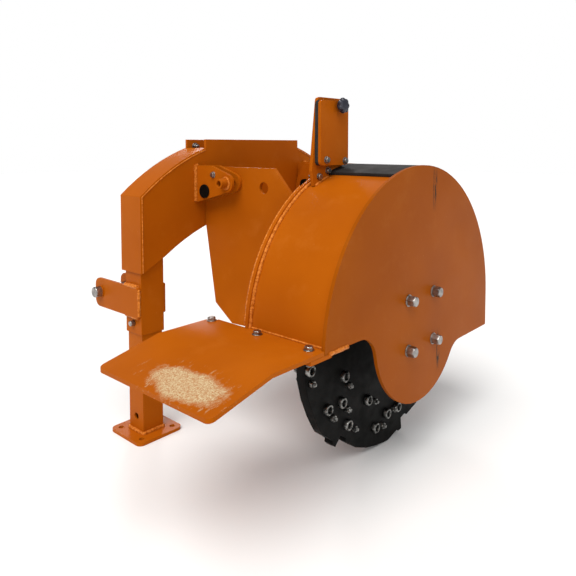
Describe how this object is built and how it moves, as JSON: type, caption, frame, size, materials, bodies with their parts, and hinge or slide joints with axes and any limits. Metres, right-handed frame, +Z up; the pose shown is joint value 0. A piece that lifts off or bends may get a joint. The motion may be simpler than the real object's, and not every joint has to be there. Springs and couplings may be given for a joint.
{
  "type": "stump grinder",
  "caption": "Stump grinder for a tractor's three-point hitch: arched frame on parking legs, hinged boom and hood over a toothed cutter wheel, with a chip deflector",
  "frame": {"origin": "Centre of the bounding box's footprint, on the ground under the parking feet and the cutter wheel.", "axes": "+X across the machine, away from the chip deflector; +Y forward, to the tractor; +Z up. The machine's middle plane is at x = 0.111."},
  "size_m": [1.068, 0.7732, 0.849],
  "materials": {
    "orange_paint": "semi-gloss orange enamel on welded steel plate",
    "zinc_steel": "zinc-plated fasteners and bright pins",
    "black_paint": "satin black paint",
    "rubber": "matt black sheet rubber",
    "knob_plastic": "moulded black plastic"
  },
  "bodies": {
    "frame": {"arch_far_plate": "orange_paint", "arch_flange_left": "orange_paint", "arch_flange_right": "orange_paint", "arch_near_plate": "orange_paint", "arch_soffit": "orange_paint", "clevis_left_inner": "orange_paint", "clevis_left_outer": "orange_paint", "clevis_right_inner": "orange_paint", "clevis_right_outer": "orange_paint", "crown_floor": "orange_paint", "hinge_lug_left_inner": "orange_paint", "hinge_lug_left_outer": "orange_paint", "hinge_lug_right_inner": "orange_paint", "hinge_lug_right_outer": "orange_paint", "pivot_pin_left": "black_paint", "pivot_pin_right": "black_paint", "sleeve_left": "orange_paint", "sleeve_right": "orange_paint", "stop_boss_left": "orange_paint", "stop_boss_right": "orange_paint", "top_link_lug_left": "orange_paint", "top_link_lug_right": "orange_paint"},
    "leg_left": {"leg_left": "orange_paint", "foot_left": "orange_paint"},
    "leg_right": {"leg_right": "orange_paint", "foot_right": "orange_paint"},
    "head": {"bearing_bolt_a": "zinc_steel", "bearing_bolt_b": "zinc_steel", "bearing_bolt_c": "zinc_steel", "bearing_bolt_d": "zinc_steel", "bearing_far": "black_paint", "bearing_near": "black_paint", "boom_cross_plate": "orange_paint", "boom_left": "orange_paint", "boom_right": "orange_paint", "bracket_clamp": "orange_paint", "bracket_plate": "orange_paint", "bracket_rubber": "rubber", "deflector": "orange_paint", "deflector_bolt_a": "zinc_steel", "deflector_bolt_b": "zinc_steel", "deflector_bolt_c": "zinc_steel", "deflector_flange": "orange_paint", "hood_far_plate": "orange_paint", "hood_near_plate": "orange_paint", "hood_wall": "orange_paint", "rubber_curtain": "rubber"},
    "rotor": {"drive_shaft": "zinc_steel", "wheel_hub": "black_paint", "cutter_wheel": "black_paint"},
    "lock_pin_left": {"lock_pin_left": "zinc_steel"},
    "lock_pin_right": {"lock_pin_right": "zinc_steel"},
    "hitch_pin_left": {"hitch_pin_left": "zinc_steel"},
    "hitch_pin_right": {"hitch_pin_right": "zinc_steel"},
    "top_link_pin": {"top_link_pin": "zinc_steel"},
    "clamp_knob": {"clamp_knob": "knob_plastic"}
  },
  "joints": [
    {"name": "leg_left_slide", "type": "slide", "parent": "frame", "child": "leg_left", "axis": [0, 0, 1], "range_m": [0, 0.24]},
    {"name": "leg_right_slide", "type": "slide", "parent": "frame", "child": "leg_right", "axis": [0, 0, 1], "range_m": [0, 0.24]},
    {"name": "lock_pin_left_pull", "type": "slide", "parent": "frame", "child": "lock_pin_left", "axis": [-1, 0, 0], "range_m": [0, 0.02]},
    {"name": "lock_pin_right_pull", "type": "slide", "parent": "frame", "child": "lock_pin_right", "axis": [1, 0, 0], "range_m": [0, 0.02]},
    {"name": "hitch_pin_left_pull", "type": "slide", "parent": "frame", "child": "hitch_pin_left", "axis": [-1, 0, 0], "range_m": [0, 0.12]},
    {"name": "hitch_pin_right_pull", "type": "slide", "parent": "frame", "child": "hitch_pin_right", "axis": [1, 0, 0], "range_m": [0, 0.12]},
    {"name": "top_link_pin_pull", "type": "slide", "parent": "frame", "child": "top_link_pin", "axis": [1, 0, 0], "range_m": [0, 0.12]},
    {"name": "head_tilt", "type": "hinge", "parent": "frame", "child": "head", "pos_m": [0.111, 0.13665, 0.617], "axis": [-1, 0, 0], "range_deg": [0, 28]},
    {"name": "wheel_spin", "type": "hinge", "parent": "head", "child": "rotor", "pos_m": [0.111, -0.26535, 0.328], "axis": [0, 1, 0], "continuous": true},
    {"name": "clamp_knob_turn", "type": "hinge", "parent": "head", "child": "clamp_knob", "pos_m": [0.013, -0.20445, 0.83], "axis": [0, -1, 0], "range_deg": [0, 360]}
  ]
}
